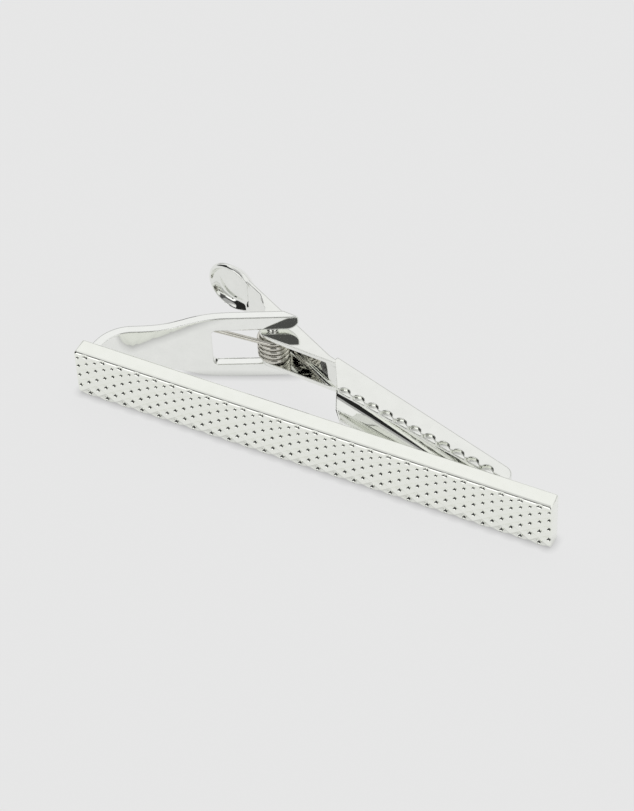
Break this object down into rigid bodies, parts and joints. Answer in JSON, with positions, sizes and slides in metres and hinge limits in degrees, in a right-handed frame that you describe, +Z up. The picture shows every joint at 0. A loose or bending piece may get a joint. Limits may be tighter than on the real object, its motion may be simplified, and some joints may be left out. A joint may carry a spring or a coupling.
{
  "type": "tie clip",
  "caption": "Slim bar tie clip with a diamond-dimpled face, a bent fork arm behind it and a toothed lever that a torsion spring closes on the cloth.",
  "frame": {"origin": "centre of the bar's lower edge face", "axes": "+X along the bar, away from the bend; +Y from the dimpled face to the back; +Z up across the bar"},
  "size_m": [0.055, 0.0196, 0.0089],
  "materials": {
    "bar_plating": "polished bright plating over brass",
    "arm_plating": "polished bright plating",
    "pin_steel": "polished steel",
    "lever_plating": "polished bright plating",
    "spring_steel": "drawn bright wire"
  },
  "bodies": {
    "clip_body": {"front_bar": "bar_plating", "fork_arm": "arm_plating", "hinge_pin": "pin_steel", "torsion_spring": "spring_steel"},
    "lever": {"clamp_lever": "lever_plating"}
  },
  "joints": [
    {"name": "lever_pivot", "type": "hinge", "parent": "clip_body", "child": "lever", "pos_m": [-0.00987, 0.01129, 0.00325], "axis": [0, 0, 1], "range_deg": [0, 48], "stiffness_Nm_per_rad": 0.02, "springref_deg": -45.84, "deforming": ["torsion_spring"]}
  ]
}
